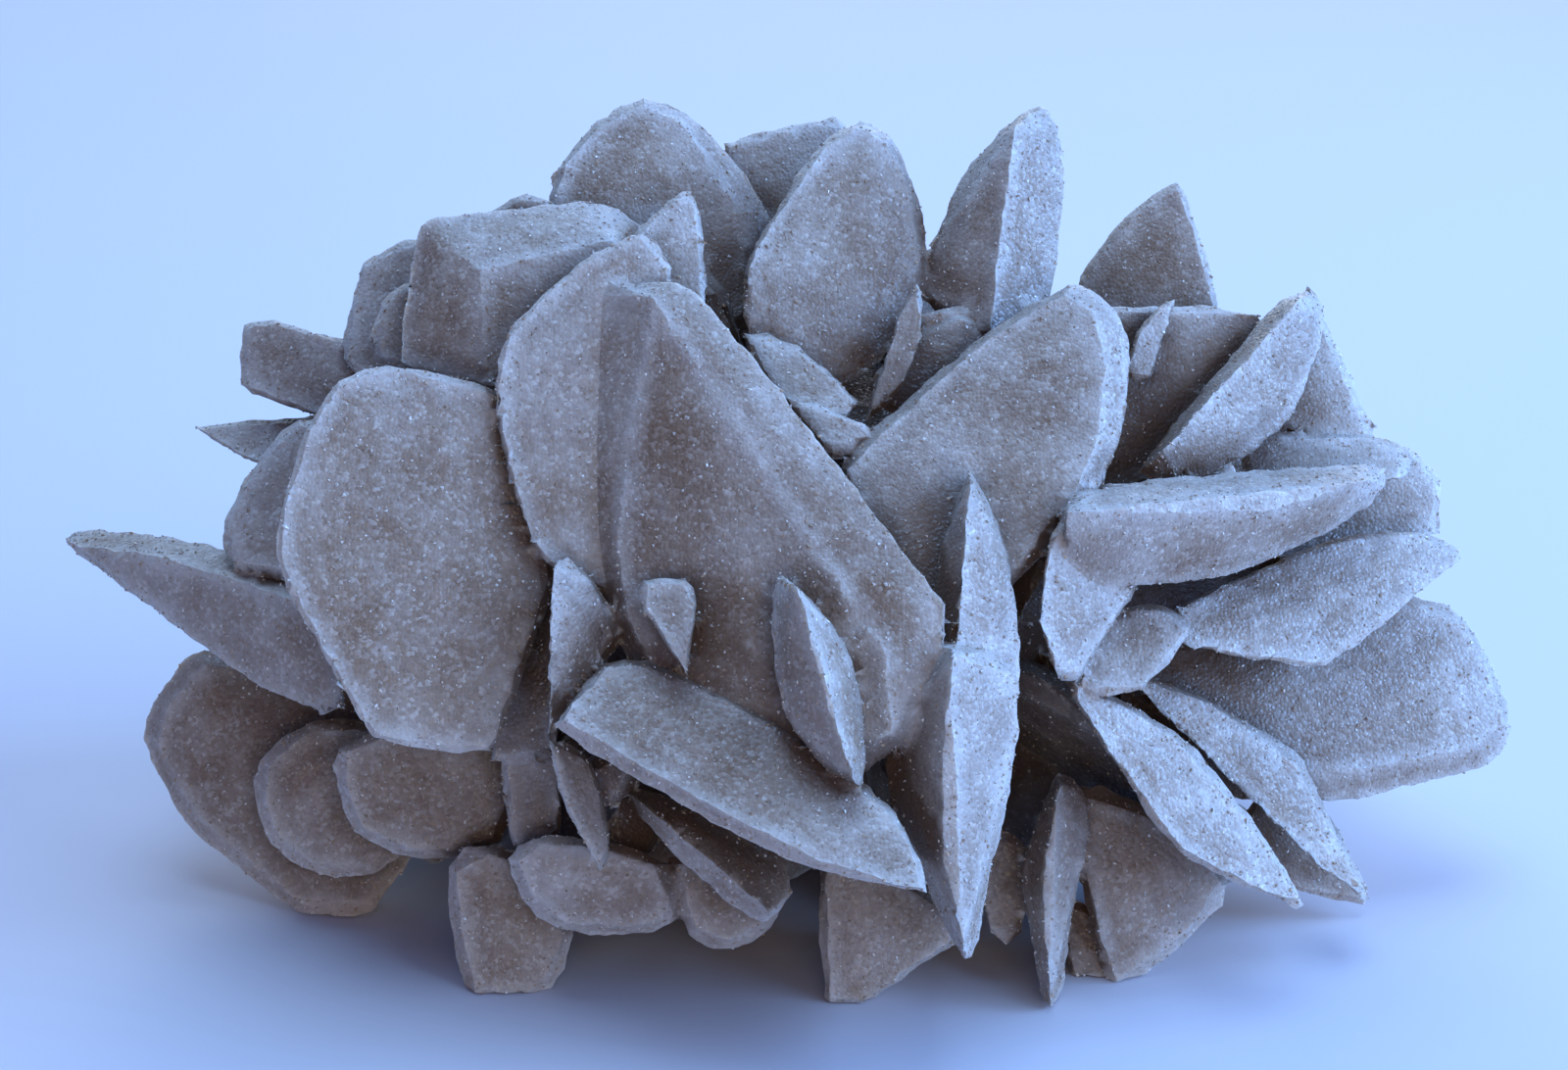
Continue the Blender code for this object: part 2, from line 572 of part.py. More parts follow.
def make_heart(collection):
    """Makes the sandy heart: a lumpy ball, stretched to the rose's form."""
    mesh = bpy.data.meshes.new("heart")
    shape = bmesh.new()
    bmesh.ops.create_icosphere(shape, subdivisions=HEART_SUBDIVISIONS, radius=1.0)
    for vert in shape.verts:
        reach = vert.co * HEART_RADII
        lump = noise.noise(reach / HEART_LUMP_SPAN) * HEART_LUMP
        vert.co = (HEART_MIDDLE + reach + vert.co.normalized() * lump) * MM
    shape.to_mesh(mesh)
    shape.free()
    made = bpy.data.objects.new("heart", mesh)
    collection.objects.link(made)
    return made


def evaluated_mesh(source):
    """Gives the mesh of an object with its modifiers done."""
    graph = bpy.context.evaluated_depsgraph_get()
    graph.update()
    return bpy.data.meshes.new_from_object(source.evaluated_get(graph))


def grow_crystals(collection):
    """Makes every crystal of the rose: the drawn plates with their ties, and the blades."""
    dice = random.Random(BLADE_SEED)
    for plate in DRAWN_PLATES:
        crystal(plate.name, plate_points(plate), collection)
        if plate.tied:
            crystal(f"{plate.name}_tie", tie_points(plate), collection)
    for place, blade in enumerate(BLADES):
        crystal(f"blade_{place}", blade_points(blade, dice), collection)


def grown_together(heart, crystals):
    """Joins the crystals and the heart in one mesh."""
    union = heart.modifiers.new("grown_together", "BOOLEAN")
    union.operation = "UNION"
    union.operand_type = "COLLECTION"
    union.collection = crystals
    union.solver = "EXACT"
    return evaluated_mesh(heart)


def island_of(start, waiting):
    """Collects the faces that hang together with one face."""
    island = [start]
    waiting.discard(start)
    for face in island:
        for edge in face.edges:
            for other in edge.link_faces:
                if other in waiting:
                    waiting.discard(other)
                    island.append(other)
    return island


def keep_outer_shell(mesh):
    """Leaves only the shell with the most faces, so that no hollow stays sealed inside."""
    shape = bmesh.new()
    shape.from_mesh(mesh)
    waiting = set(shape.faces)
    islands = []
    while waiting:
        islands.append(island_of(next(iter(waiting)), waiting))
    islands.sort(key=len)
    spare = [face for island in islands[:-1] for face in island]
    bmesh.ops.delete(shape, geom=spare, context="FACES")
    shape.to_mesh(mesh)
    shape.free()


def make_ground_cutter(collection):
    """Makes the box under z = 0 that cuts the resting faces flat."""
    mesh = bpy.data.meshes.new("ground_cutter")
    shape = bmesh.new()
    bmesh.ops.create_cube(shape, size=1.0)
    stretch = Vector((CUT_SIZE, CUT_SIZE, CUT_HEIGHT)) * MM
    for vert in shape.verts:
        vert.co = vert.co * stretch - Vector((0.0, 0.0, stretch.z / 2))
    shape.to_mesh(mesh)
    shape.free()
    made = bpy.data.objects.new("ground_cutter", mesh)
    made.hide_render = True
    made.display_type = "WIRE"
    collection.objects.link(made)
    return made


def cut_resting_faces(mesh, collection):
    """Cuts a mesh off flat at z = 0.

    collection: where the cutter is put.
    """
    standing = bpy.data.objects.new("standing", mesh)
    bpy.context.scene.collection.objects.link(standing)
    cut = standing.modifiers.new("resting_faces", "BOOLEAN")
    cut.operation = "DIFFERENCE"
    cut.object = make_ground_cutter(collection)
    cut.solver = "EXACT"
    made = evaluated_mesh(standing)
    bpy.data.objects.remove(standing, do_unlink=True)
    return made


def sandy_gypsum():
    """Gives the material of the rose: gypsum full of pale brown desert sand."""
    made = bpy.data.materials.new("sandy_gypsum")
    made.use_nodes = True
    shader = made.node_tree.nodes["Principled BSDF"]
    shader.inputs["Base Color"].default_value = SANDY_GYPSUM
    shader.inputs["Roughness"].default_value = SANDY_ROUGHNESS
    shader.inputs["Metallic"].default_value = 0.0
    return made


def centre_over_origin(mesh):
    """Moves the rose so that the middle of its box is over the origin."""
    across = [vert.co.x for vert in mesh.vertices]
    along = [vert.co.y for vert in mesh.vertices]
    middle = Vector(((min(across) + max(across)) / 2, (min(along) + max(along)) / 2, 0.0))
    mesh.transform(Matrix.Translation(-middle))


def main():
    """Builds the desert rose."""
    clear_scene()
    rose_parts = new_collection("desert_rose_selenite")
    growing = new_collection("growing_crystals")
    hearts = new_collection("growing_heart")
    cutters = new_collection("cutters")
    grow_crystals(growing)
    joined = grown_together(make_heart(hearts), growing)
    keep_outer_shell(joined)
    for used in (growing, hearts):
        for spare in list(used.objects):
            bpy.data.objects.remove(spare, do_unlink=True)
        bpy.data.collections.remove(used)
    mesh = cut_resting_faces(joined, cutters)
    centre_over_origin(mesh)
    mesh.name = "desert_rose"
    mesh.materials.clear()
    mesh.materials.append(sandy_gypsum())
    rose = bpy.data.objects.new("desert_rose", mesh)
    rose_parts.objects.link(rose)


main()
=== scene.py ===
"""Desert rose selenite: the finish of its sand-filled crystals, with painted shade in their
recesses, and the studio round it.
"""

import logging
import math
from dataclasses import dataclass, field
from enum import Enum

import bmesh
import bpy
import numpy as np
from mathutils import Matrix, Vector, noise
from mathutils.bvhtree import BVHTree
from mathutils.kdtree import KDTree


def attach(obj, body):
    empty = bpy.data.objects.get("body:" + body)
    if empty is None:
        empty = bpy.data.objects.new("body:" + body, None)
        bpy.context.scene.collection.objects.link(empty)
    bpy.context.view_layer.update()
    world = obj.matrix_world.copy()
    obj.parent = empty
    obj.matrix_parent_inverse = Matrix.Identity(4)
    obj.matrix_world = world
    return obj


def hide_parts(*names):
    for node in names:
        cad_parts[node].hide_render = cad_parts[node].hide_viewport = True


LOG = logging.getLogger("desert_rose")
MM = 0.001
ROSE_NODE = "desert_rose"

# Keeps a triangle of no area, in square metres, from being divided by.
LEAST_AREA = 1e-15

# The sRGB curve: a straight part up to the knee, and a power above it.
SRGB_KNEE = 0.04045
SRGB_SLOPE = 12.92
SRGB_OFFSET = 0.055
SRGB_POWER = 2.4

# The Mix node's colour sockets, by number because their names are also those of other sockets.
MIX_FACTOR = 0
MIX_A = 6
MIX_B = 7
MIX_RESULT = 2

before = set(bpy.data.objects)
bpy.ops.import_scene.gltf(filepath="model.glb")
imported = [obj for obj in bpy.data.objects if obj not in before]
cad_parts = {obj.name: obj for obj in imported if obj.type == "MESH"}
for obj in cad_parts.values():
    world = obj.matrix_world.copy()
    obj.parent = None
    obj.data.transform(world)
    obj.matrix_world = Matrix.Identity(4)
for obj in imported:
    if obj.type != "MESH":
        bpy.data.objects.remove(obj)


def linear(colour: str) -> tuple[float, float, float, float]:
    """Turns an sRGB hex colour to a linear one.

    Args:
        colour: six hex digits, such as "a89684".

    Returns:
        Red, green, blue and an alpha of 1, as Blender's sockets take them.
    """
    parts = [int(colour[start:start + 2], 16) / 255 for start in (0, 2, 4)]
    spread = [part / SRGB_SLOPE if part <= SRGB_KNEE
              else ((part + SRGB_OFFSET) / (1.0 + SRGB_OFFSET)) ** SRGB_POWER
              for part in parts]
    return (*spread, 1.0)


def add_node(tree: bpy.types.NodeTree, kind: str, settings: dict | None = None,
             links: dict | None = None) -> bpy.types.Node:
    """Adds a node to a material with its settings and its links.

    Args:
        tree: the material's node tree.
        kind: the node's Blender name.
        settings: values by the name of a property or an input socket.
        links: output sockets by the name or number of the input socket that they feed.

    Returns:
        The new node.
    """
    node = tree.nodes.new(kind)
    for name, value in (settings or {}).items():
        if isinstance(name, str) and name in node.bl_rna.properties:
            setattr(node, name, value)
        else:
            node.inputs[name].default_value = value
    for name, source in (links or {}).items():
        tree.links.new(source, node.inputs[name])
    return node


def set_ramp(ramp: bpy.types.Node, stops: tuple[tuple[float, str], ...]) -> None:
    """Sets the stops of a colour ramp.

    Args:
        ramp: the Color Ramp node.
        stops: place and sRGB hex colour of each stop, in order.
    """
    elements = ramp.color_ramp.elements
    while len(elements) < len(stops):
        elements.new(1.0)
    for element, (place, colour) in zip(elements, stops):
        element.position = place
        element.color = linear(colour)


def point_values(mesh: bpy.types.Mesh, name: str) -> np.ndarray:
    """Reads one number for each vertex of a mesh.

    Args:
        mesh: the mesh.
        name: the attribute's name.

    Returns:
        The values, in the order of the vertices.
    """
    values = np.empty(len(mesh.vertices))
    mesh.attributes[name].data.foreach_get("value", values)
    return values


def new_material(name: str) -> tuple[bpy.types.Material, bpy.types.NodeTree, bpy.types.Node]:
    """Makes a material with its Principled BSDF.

    Args:
        name: the material's name.

    Returns:
        The material, its node tree and its shader node.
    """
    made = bpy.data.materials.new(name)
    made.use_nodes = True
    return made, made.node_tree, made.node_tree.nodes["Principled BSDF"]


@dataclass(frozen=True)
class SandFilledGypsum:
    """Gypsum that grew through desert sand, so each crystal is packed with brown sand grains.

    It gives a dull, speckled tan with a frosted, paler rim where the crystal is clearer, painted
    shade and loose sand in the recesses, and a fine sandpaper roughness all over.

    grain_mm: width of one sand grain.
    patch_mm, mottle_mm: spacing of the broad patches of colour and of the mottling in them.
    growth_mm, waver_mm: spacing of the growth lines along the rims, and how far they wander.
    patch_places, mottle_places: where brown, tan and pale stand in each noise.
    grain_places: where the five tones of single grains stand, from the darkest to the brightest.
    shade_and_sand_from, shade_and_sand_to: how sheltered a spot is where the painted shade and
    loose sand begin to darken it, and where they darken it most.
    glow_mm: how deep light reaches into the crystal.
    line_bump, lump_bump, sand_bump: strength and depth in mm of each relief.
    """

    pale: str = "b9b1aa"
    tan: str = "99897a"
    brown: str = "73573e"
    # recess: painted shade for the recesses, a dark warm brown that also stands for loose sand
    # there.
    recess: str = "4f3724"
    frost: str = "cdcac6"
    dark_grain: str = "6c5b4d"
    dull_grain: str = "8a7a6c"
    bright_grain: str = "dcd8d1"
    grain_mm: float = 0.45
    patch_mm: float = 19.0
    patch_detail: float = 4.0
    mottle_mm: float = 6.0
    mottle_detail: float = 6.0
    mottle_roughness: float = 0.62
    growth_mm: float = 1.3
    waver_mm: float = 1.6
    patch_places: tuple[float, ...] = (0.38, 0.5, 0.6)
    mottle_places: tuple[float, ...] = (0.38, 0.52, 0.64)
    grain_places: tuple[float, ...] = (0.0, 0.3, 0.65, 0.88, 1.0)
    mottle_share: float = 0.5
    grain_share: float = 0.34
    frost_share: float = 0.5
    shade_and_sand_share: float = 0.95
    shade_and_sand_from: float = 0.04
    shade_and_sand_to: float = 0.55
    smoothest: float = 0.28
    roughest: float = 0.75
    ior: float = 1.52
    sheen: float = 0.12
    sheen_roughness: float = 0.5
    glow: float = 0.3
    glow_reach: tuple[float, float, float] = (1.0, 0.75, 0.5)
    glow_mm: float = 2.5
    line_bump: tuple[float, float] = (0.35, 0.15)
    lump_bump: tuple[float, float] = (0.5, 0.5)
    sand_bump: tuple[float, float] = (0.55, 0.16)

    def material(self) -> bpy.types.Material:
        """Builds the crystals' material.

        Returns:
            The material.
        """
        made, tree, shader = new_material("sand_filled_gypsum")
        place = add_node(tree, "ShaderNodeTexCoord").outputs["Object"]
        mottle = add_node(tree, "ShaderNodeTexNoise",
                          {"Scale": 1 / (self.mottle_mm * MM), "Detail": self.mottle_detail,
                           "Roughness": self.mottle_roughness}, {"Vector": place})
        grains = add_node(tree, "ShaderNodeTexVoronoi",
                          {"Scale": 1 / (self.grain_mm * MM), "Randomness": 1.0},
                          {"Vector": place})
        one_grain = add_node(tree, "ShaderNodeSeparateColor", None,
                             {"Color": grains.outputs["Color"]})
        stone = self.stone_colour(tree, place, mottle, one_grain)
        tree.links.new(self.frosted_and_shaded_colour(tree, stone), shader.inputs["Base Color"])
        rough = add_node(tree, "ShaderNodeMapRange",
                         {"To Min": self.smoothest, "To Max": self.roughest},
                         {"Value": one_grain.outputs["Green"]})
        tree.links.new(rough.outputs["Result"], shader.inputs["Roughness"])
        shader.inputs["IOR"].default_value = self.ior
        shader.inputs["Sheen Weight"].default_value = self.sheen
        shader.inputs["Sheen Roughness"].default_value = self.sheen_roughness
        shader.inputs["Subsurface Weight"].default_value = self.glow
        shader.inputs["Subsurface Radius"].default_value = self.glow_reach
        shader.inputs["Subsurface Scale"].default_value = self.glow_mm * MM
        self.add_relief(tree, shader, grains, mottle)
        return made

    def stone_colour(self, tree: bpy.types.NodeTree, place: bpy.types.NodeSocket,
                     mottle: bpy.types.Node, one_grain: bpy.types.Node) -> bpy.types.NodeSocket:
        """Mixes the broad patches, the mottling and the tones of single grains.

        Args:
            tree: the material's node tree.
            place: the object coordinates.
            mottle: the noise of the mottling.
            one_grain: random numbers, the same over each grain.

        Returns:
            The socket with the colour of the bare stone.
        """
        tones = (self.brown, self.tan, self.pale)
        patch = add_node(tree, "ShaderNodeTexNoise",
                         {"Scale": 1 / (self.patch_mm * MM), "Detail": self.patch_detail},
                         {"Vector": place})
        base = add_node(tree, "ShaderNodeValToRGB", None, {"Fac": patch.outputs["Fac"]})
        set_ramp(base, tuple(zip(self.patch_places, tones)))
        mottled = add_node(tree, "ShaderNodeValToRGB", None, {"Fac": mottle.outputs["Fac"]})
        set_ramp(mottled, tuple(zip(self.mottle_places, tones)))
        speck = add_node(tree, "ShaderNodeValToRGB", None, {"Fac": one_grain.outputs["Red"]})
        set_ramp(speck, tuple(zip(self.grain_places, (self.dark_grain, self.dull_grain, self.tan,
                                                      self.pale, self.bright_grain))))
        blend = add_node(tree, "ShaderNodeMix",
                         {"data_type": "RGBA", "Factor": self.mottle_share},
                         {MIX_A: base.outputs["Color"], MIX_B: mottled.outputs["Color"]})
        speckled = add_node(tree, "ShaderNodeMix",
                            {"data_type": "RGBA", "Factor": self.grain_share},
                            {MIX_A: blend.outputs[MIX_RESULT], MIX_B: speck.outputs["Color"]})
        return speckled.outputs[MIX_RESULT]

    def frosted_and_shaded_colour(self, tree: bpy.types.NodeTree,
                         stone: bpy.types.NodeSocket) -> bpy.types.NodeSocket:
        """Pales the colour along the rims, and darkens it with painted shade and loose sand in the
        recesses.

        Args:
            tree: the material's node tree.
            stone: the colour of the bare stone.

        Returns:
            The socket with the finished colour.
        """
        rim = add_node(tree, "ShaderNodeAttribute", {"attribute_name": "rim"})
        shelter = add_node(tree, "ShaderNodeAttribute", {"attribute_name": "shelter"})
        frost = add_node(tree, "ShaderNodeMath", {"operation": "MULTIPLY", 1: self.frost_share},
                         {0: rim.outputs["Fac"]})
        frosted = add_node(tree, "ShaderNodeMix",
                           {"data_type": "RGBA", MIX_B: linear(self.frost)},
                           {MIX_FACTOR: frost.outputs[0], MIX_A: stone})
        # Painted shade and loose sand: the more sheltered a spot, the more of the dark recess brown
        # it takes.
        sand = add_node(tree, "ShaderNodeMapRange",
                        {"From Min": self.shade_and_sand_from, "From Max": self.shade_and_sand_to,
                         "To Max": self.shade_and_sand_share}, {"Value": shelter.outputs["Fac"]})
        painted_shade_and_sand = add_node(tree, "ShaderNodeMix",
                         {"data_type": "RGBA", MIX_B: linear(self.recess)},
                         {MIX_FACTOR: sand.outputs["Result"], MIX_A: frosted.outputs[MIX_RESULT]})
        return painted_shade_and_sand.outputs[MIX_RESULT]

    def add_relief(self, tree: bpy.types.NodeTree, shader: bpy.types.Node,
                   grains: bpy.types.Node, mottle: bpy.types.Node) -> None:
        """Adds the growth lines, the mottled lumps and the grains to the shader's normal.

        Args:
            tree: the material's node tree.
            shader: the Principled BSDF.
            grains: the Voronoi node with one cell for each sand grain.
            mottle: the noise of the lumps.
        """
        depth = add_node(tree, "ShaderNodeAttribute", {"attribute_name": "rim_distance"})
        waver = add_node(tree, "ShaderNodeMath", {"operation": "MULTIPLY_ADD", 1: self.waver_mm},
                         {0: mottle.outputs["Fac"], 2: depth.outputs["Fac"]})
        steps = add_node(tree, "ShaderNodeMath",
                         {"operation": "PINGPONG", 1: self.growth_mm}, {0: waver.outputs[0]})
        strength, deep = self.line_bump
        lines = add_node(tree, "ShaderNodeBump", {"Strength": strength, "Distance": deep * MM},
                         {"Height": steps.outputs[0]})
        strength, deep = self.lump_bump
        lumps = add_node(tree, "ShaderNodeBump", {"Strength": strength, "Distance": deep * MM},
                         {"Height": mottle.outputs["Fac"], "Normal": lines.outputs["Normal"]})
        strength, deep = self.sand_bump
        sand = add_node(tree, "ShaderNodeBump",
                        {"invert": True, "Strength": strength, "Distance": deep * MM},
                        {"Height": grains.outputs["Distance"], "Normal": lumps.outputs["Normal"]})
        tree.links.new(sand.outputs["Normal"], shader.inputs["Normal"])


class GrainKind(Enum):
    """The sand grains and crystal splinters that stud the surface."""

    CLEAR_QUARTZ = "clear_quartz"
    HONEY_QUARTZ = "honey_quartz"
    BROWN_SAND = "brown_sand"
    SELENITE_FLAKE = "selenite_flake"


class GrainForm(Enum):
    """The simple closed form of one grain: its corners round the origin, and its faces."""

    PEBBLE = (((1, 0, 0), (-1, 0, 0), (0, 1, 0), (0, -1, 0), (0, 0, 1), (0, 0, -1)),
              ((0, 2, 4), (2, 1, 4), (1, 3, 4), (3, 0, 4),
               (2, 0, 5), (1, 2, 5), (3, 1, 5), (0, 3, 5)))
    SPLINTER = (((1, 0, -0.4), (-0.5, 0.87, -0.4), (-0.5, -0.87, -0.4), (0, 0, 0.8)),
                ((0, 2, 1), (0, 1, 3), (1, 2, 3), (2, 0, 3)))


@dataclass(frozen=True)
class GrainFinish:
    """Loose desert sand: wind-blown quartz, each grain a little different in tone.

    Clear and honey grains catch the light, brown ones carry an iron stain, and the flakes are
    freshly split gypsum that flashes like small mirrors.
    """

    kind: GrainKind
    dark: str
    light: str
    roughness: float
    ior: float

    def material(self) -> bpy.types.Material:
        """Builds the grains' material.

        Returns:
            The material.
        """
        made, tree, shader = new_material(self.kind.value)
        tone = add_node(tree, "ShaderNodeAttribute", {"attribute_name": "tone"})
        ramp = add_node(tree, "ShaderNodeValToRGB", None, {"Fac": tone.outputs["Fac"]})
        set_ramp(ramp, ((0.0, self.dark), (1.0, self.light)))
        tree.links.new(ramp.outputs["Color"], shader.inputs["Base Color"])
        shader.inputs["Roughness"].default_value = self.roughness
        shader.inputs["IOR"].default_value = self.ior
        return made


@dataclass
class RoseBody:
    """The intergrown crystals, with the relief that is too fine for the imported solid.

    merge_mm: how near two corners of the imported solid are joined.
    octree_depth, remesh_scale: the fine mesh's cells, and the share of them that the solid fills.
    most_triangles: what is left after the flat parts are thinned.
    crease: smallest turn between two faces of the solid that counts as a crystal's edge.
    fine_crease, shading_crease: the same for the fine mesh as it is evened, and as it is shaded.
    rounds, along_share, face_share: how often the fine mesh is evened, and how far a vertex on an
        edge and one on a face go each time.
    edge_step_mm: how far apart the points along the edges lie.
    rim_reach_mm: how far in from an edge the frost and the ragged rim reach.
    shelter_*: the rays that look for a recess: their number, length, start above the surface and
        lean towards it, and how much less the farthest hit counts.
    *_mm and *_span_mm: height and width of the swells, the pits, and the ragged and nibbled rim.
    ledges_mm, ledge_*: where the growth ledges lie, how deep and steep each is, and its wander.
    """

    merge_mm: float = 0.001
    octree_depth: int = 8
    remesh_scale: float = 0.79
    most_triangles: int = 196000
    crease: float = math.radians(14)
    fine_crease: float = math.radians(11)
    shading_crease: float = math.radians(16)
    rounds: int = 6
    along_share: float = 0.5
    face_share: float = 0.4
    edge_step_mm: float = 0.5
    rim_reach_mm: float = 1.3
    shelter_rays: int = 14
    shelter_reach_mm: float = 26.0
    shelter_start_mm: float = 0.7
    shelter_lean: float = 1.02
    shelter_fade: float = 0.6
    swell_mm: float = 0.22
    swell_span_mm: float = 9.0
    swell_octaves: int = 3
    pit_mm: float = 0.07
    pit_span_mm: float = 1.9
    ragged_mm: float = 0.24
    ragged_span_mm: float = 2.6
    nibble_mm: float = 0.22
    nibble_span_mm: float = 1.25
    ledges_mm: tuple[float, ...] = (1.6, 3.3, 5.6)
    ledge_drop_mm: float = 0.13
    ledge_steepness: float = 3.0
    ledge_wander_mm: float = 1.3
    ledge_span_mm: float = 6.0
    noise_seed: int = 29

    def merged_source(self) -> bmesh.types.BMesh:
        """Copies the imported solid's mesh and joins its loose triangles.

        Returns:
            The joined copy.
        """
        shape = bmesh.new()
        shape.from_mesh(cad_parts[ROSE_NODE].data)
        bmesh.ops.remove_doubles(shape, verts=shape.verts, dist=self.merge_mm * MM)
        return shape

    def edge_tree(self, shape: bmesh.types.BMesh) -> KDTree:
        """Collects points along the crystals' rims and ridges.

        Args:
            shape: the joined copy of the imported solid.

        Returns:
            A tree of points, a step apart, for finding the nearest edge.
        """
        points: list[Vector] = []
        for edge in shape.edges:
            if not edge.is_convex or edge.calc_face_angle(0.0) < self.crease:
                continue
            start, end = (vert.co for vert in edge.verts)
            count = max(1, round((end - start).length / (self.edge_step_mm * MM)))
            points += [start.lerp(end, step / count) for step in range(count + 1)]
        tree = KDTree(len(points))
        for number, point in enumerate(points):
            tree.insert(point, number)
        tree.balance()
        return tree

    def with_modifier(self, mesh: bpy.types.Mesh, kind: str, settings: dict) -> bpy.types.Mesh:
        """Puts a mesh through one modifier.

        Args:
            mesh: the mesh, which is used up.
            kind: the modifier's Blender name.
            settings: the modifier's properties by name.

        Returns:
            The new mesh.
        """
        holder = bpy.data.objects.new("rose_rough", mesh)
        bpy.context.scene.collection.objects.link(holder)
        modifier = holder.modifiers.new(kind.lower(), kind)
        for name, value in settings.items():
            setattr(modifier, name, value)
        graph = bpy.context.evaluated_depsgraph_get()
        made = bpy.data.meshes.new_from_object(holder.evaluated_get(graph))
        bpy.data.objects.remove(holder, do_unlink=True)
        bpy.data.meshes.remove(mesh)
        return made

    def fine_mesh(self, shape: bmesh.types.BMesh) -> bpy.types.Mesh:
        """Makes an even, fine mesh of the solid that keeps the crystals' edges crisp.

        Args:
            shape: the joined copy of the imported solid.

        Returns:
            The fine mesh.
        """
        rough = bpy.data.meshes.new("rose_rough")
        shape.to_mesh(rough)
        return self.with_modifier(rough, "REMESH", {
            "mode": "SHARP", "octree_depth": self.octree_depth, "scale": self.remesh_scale,
            "sharpness": 1.0, "use_remove_disconnected": False})

    def creased_edges(self, mesh: bpy.types.Mesh) -> tuple[np.ndarray, np.ndarray]:
        """Finds the mesh's edges, and which of them lie on a crystal's edge.

        Args:
            mesh: the fine mesh.

        Returns:
            The two vertices of each edge, and whether the surface turns sharply there.
        """
        shape = bmesh.new()
        shape.from_mesh(mesh)
        pairs = np.array([(edge.verts[0].index, edge.verts[1].index) for edge in shape.edges])
        sharp = np.array([edge.calc_face_angle(0.0) > self.fine_crease for edge in shape.edges])
        shape.free()
        return pairs, sharp

    def evened(self, places: np.ndarray, pairs: np.ndarray, sharp: np.ndarray) -> np.ndarray:
        """Rounds the corners of the outlines and leaves every crystal's edge crisp.

        Vertices on an edge move only along that edge, and the others follow their neighbours.

        Args:
            places: the vertices.
            pairs: the vertices of each mesh edge.
            sharp: which mesh edges lie on a crystal's edge.

        Returns:
            The new vertices.
        """
        count = len(places)
        on_edge = np.bincount(pairs[sharp].ravel(), minlength=count)
        degree = np.bincount(pairs.ravel(), minlength=count)
        free = on_edge == 0
        along = on_edge == 2
        for _ in range(self.rounds):
            for chosen, links, share in ((along, pairs[sharp], self.along_share),
                                         (free, pairs, self.face_share)):
                ends = np.concatenate((links, links[:, ::-1]))
                total = np.stack([np.bincount(ends[:, 0], places[ends[:, 1], axis], count)
                                  for axis in range(3)], axis=1)
                number = (on_edge if chosen is along else degree)[chosen, None]
                places[chosen] += share * (total[chosen] / number - places[chosen])
        return places

    def relief(self, place: Vector, edge_mm: float) -> float:
        """Gives how far the surface stands out from the flat crystal face.

        Args:
            place: the spot, in mm.
            edge_mm: its distance from the nearest edge.

        Returns:
            The height in mm.
        """
        swell = noise.fractal(place / self.swell_span_mm, 1.0, 2.0, self.swell_octaves)
        pit = noise.noise(place / self.pit_span_mm) * self.pit_mm
        wandering = edge_mm + noise.noise(place / self.ledge_span_mm) * self.ledge_wander_mm
        ledges = sum(1.0 / (1.0 + math.exp((wandering - ledge) * self.ledge_steepness))
                     for ledge in self.ledges_mm)
        return swell * self.swell_mm + pit - ledges * self.ledge_drop_mm

    def weathered(self, mesh: bpy.types.Mesh, edges: KDTree) -> None:
        """Moves the fine mesh's vertices: rounded outlines, swells, ledges and ragged rims.

        Args:
            mesh: the fine mesh, which is changed.
            edges: points along the crystals' edges.
        """
        places = np.empty(len(mesh.vertices) * 3)
        mesh.vertices.foreach_get("co", places)
        places = self.evened(places.reshape(-1, 3), *self.creased_edges(mesh))
        mesh.vertices.foreach_set("co", places.ravel())
        mesh.update()
        # Unless it is seeded, noise_vector takes its offsets from the clock.
        noise.seed_set(self.noise_seed)
        for number, facing in enumerate(mesh.vertex_normals):
            place = Vector(places[number])
            edge_mm = edges.find(place)[2] / MM
            spot = place / MM
            rim = math.exp(-(edge_mm / self.rim_reach_mm) ** 2)
            ragged = noise.noise_vector(spot / self.ragged_span_mm) * self.ragged_mm
            nibbled = noise.noise_vector(spot / self.nibble_span_mm) * self.nibble_mm
            spot += facing.vector * self.relief(spot, edge_mm) + (ragged + nibbled) * rim
            spot.z = max(spot.z, 0.0)
            places[number] = spot * MM
        mesh.vertices.foreach_set("co", places.ravel())
        mesh.update()

    def shelter_of(self, tree: BVHTree, place: Vector, facing: Vector,
                   rays: list[Vector]) -> float:
        """Tells how far a spot lies in a recess.

        Args:
            tree: the solid's faces.
            place: the spot.
            facing: which way its surface faces.
            rays: directions spread over a ball.

        Returns:
            The share of the half ball over it that is closed off, from 0 to 1.
        """
        start = place + facing * (self.shelter_start_mm * MM)
        reach = self.shelter_reach_mm * MM
        closed = 0.0
        for ray in rays:
            way = (ray + facing * self.shelter_lean).normalized()
            _, normal, _, far = tree.ray_cast(start, way, reach)
            if far is not None and normal.dot(way) < 0.0:
                closed += 1.0 - far / reach * self.shelter_fade
        return closed / len(rays)

    def mark(self, mesh: bpy.types.Mesh, edges: KDTree, solid: BVHTree) -> None:
        """Stores on each vertex how near an edge it lies and how sheltered it is.

        Args:
            mesh: the finished mesh.
            edges: points along the crystals' edges.
            solid: the solid's faces.
        """
        golden = math.pi * (3.0 - math.sqrt(5.0))
        rays = []
        for number in range(self.shelter_rays):
            high = 1.0 - 2.0 * (number + 0.5) / self.shelter_rays
            flat = math.sqrt(1.0 - high * high)
            rays.append(Vector((math.cos(golden * number) * flat,
                                math.sin(golden * number) * flat, high)))
        distance = [edges.find(vert.co)[2] / MM for vert in mesh.vertices]
        rim = [math.exp(-(far / self.rim_reach_mm) ** 2) for far in distance]
        shelter = [self.shelter_of(solid, vert.co, facing.vector, rays)
                   for vert, facing in zip(mesh.vertices, mesh.vertex_normals)]
        for name, values in (("rim", rim), ("shelter", shelter), ("rim_distance", distance)):
            layer = mesh.attributes.new(name, "FLOAT", "POINT")
            layer.data.foreach_set("value", values)

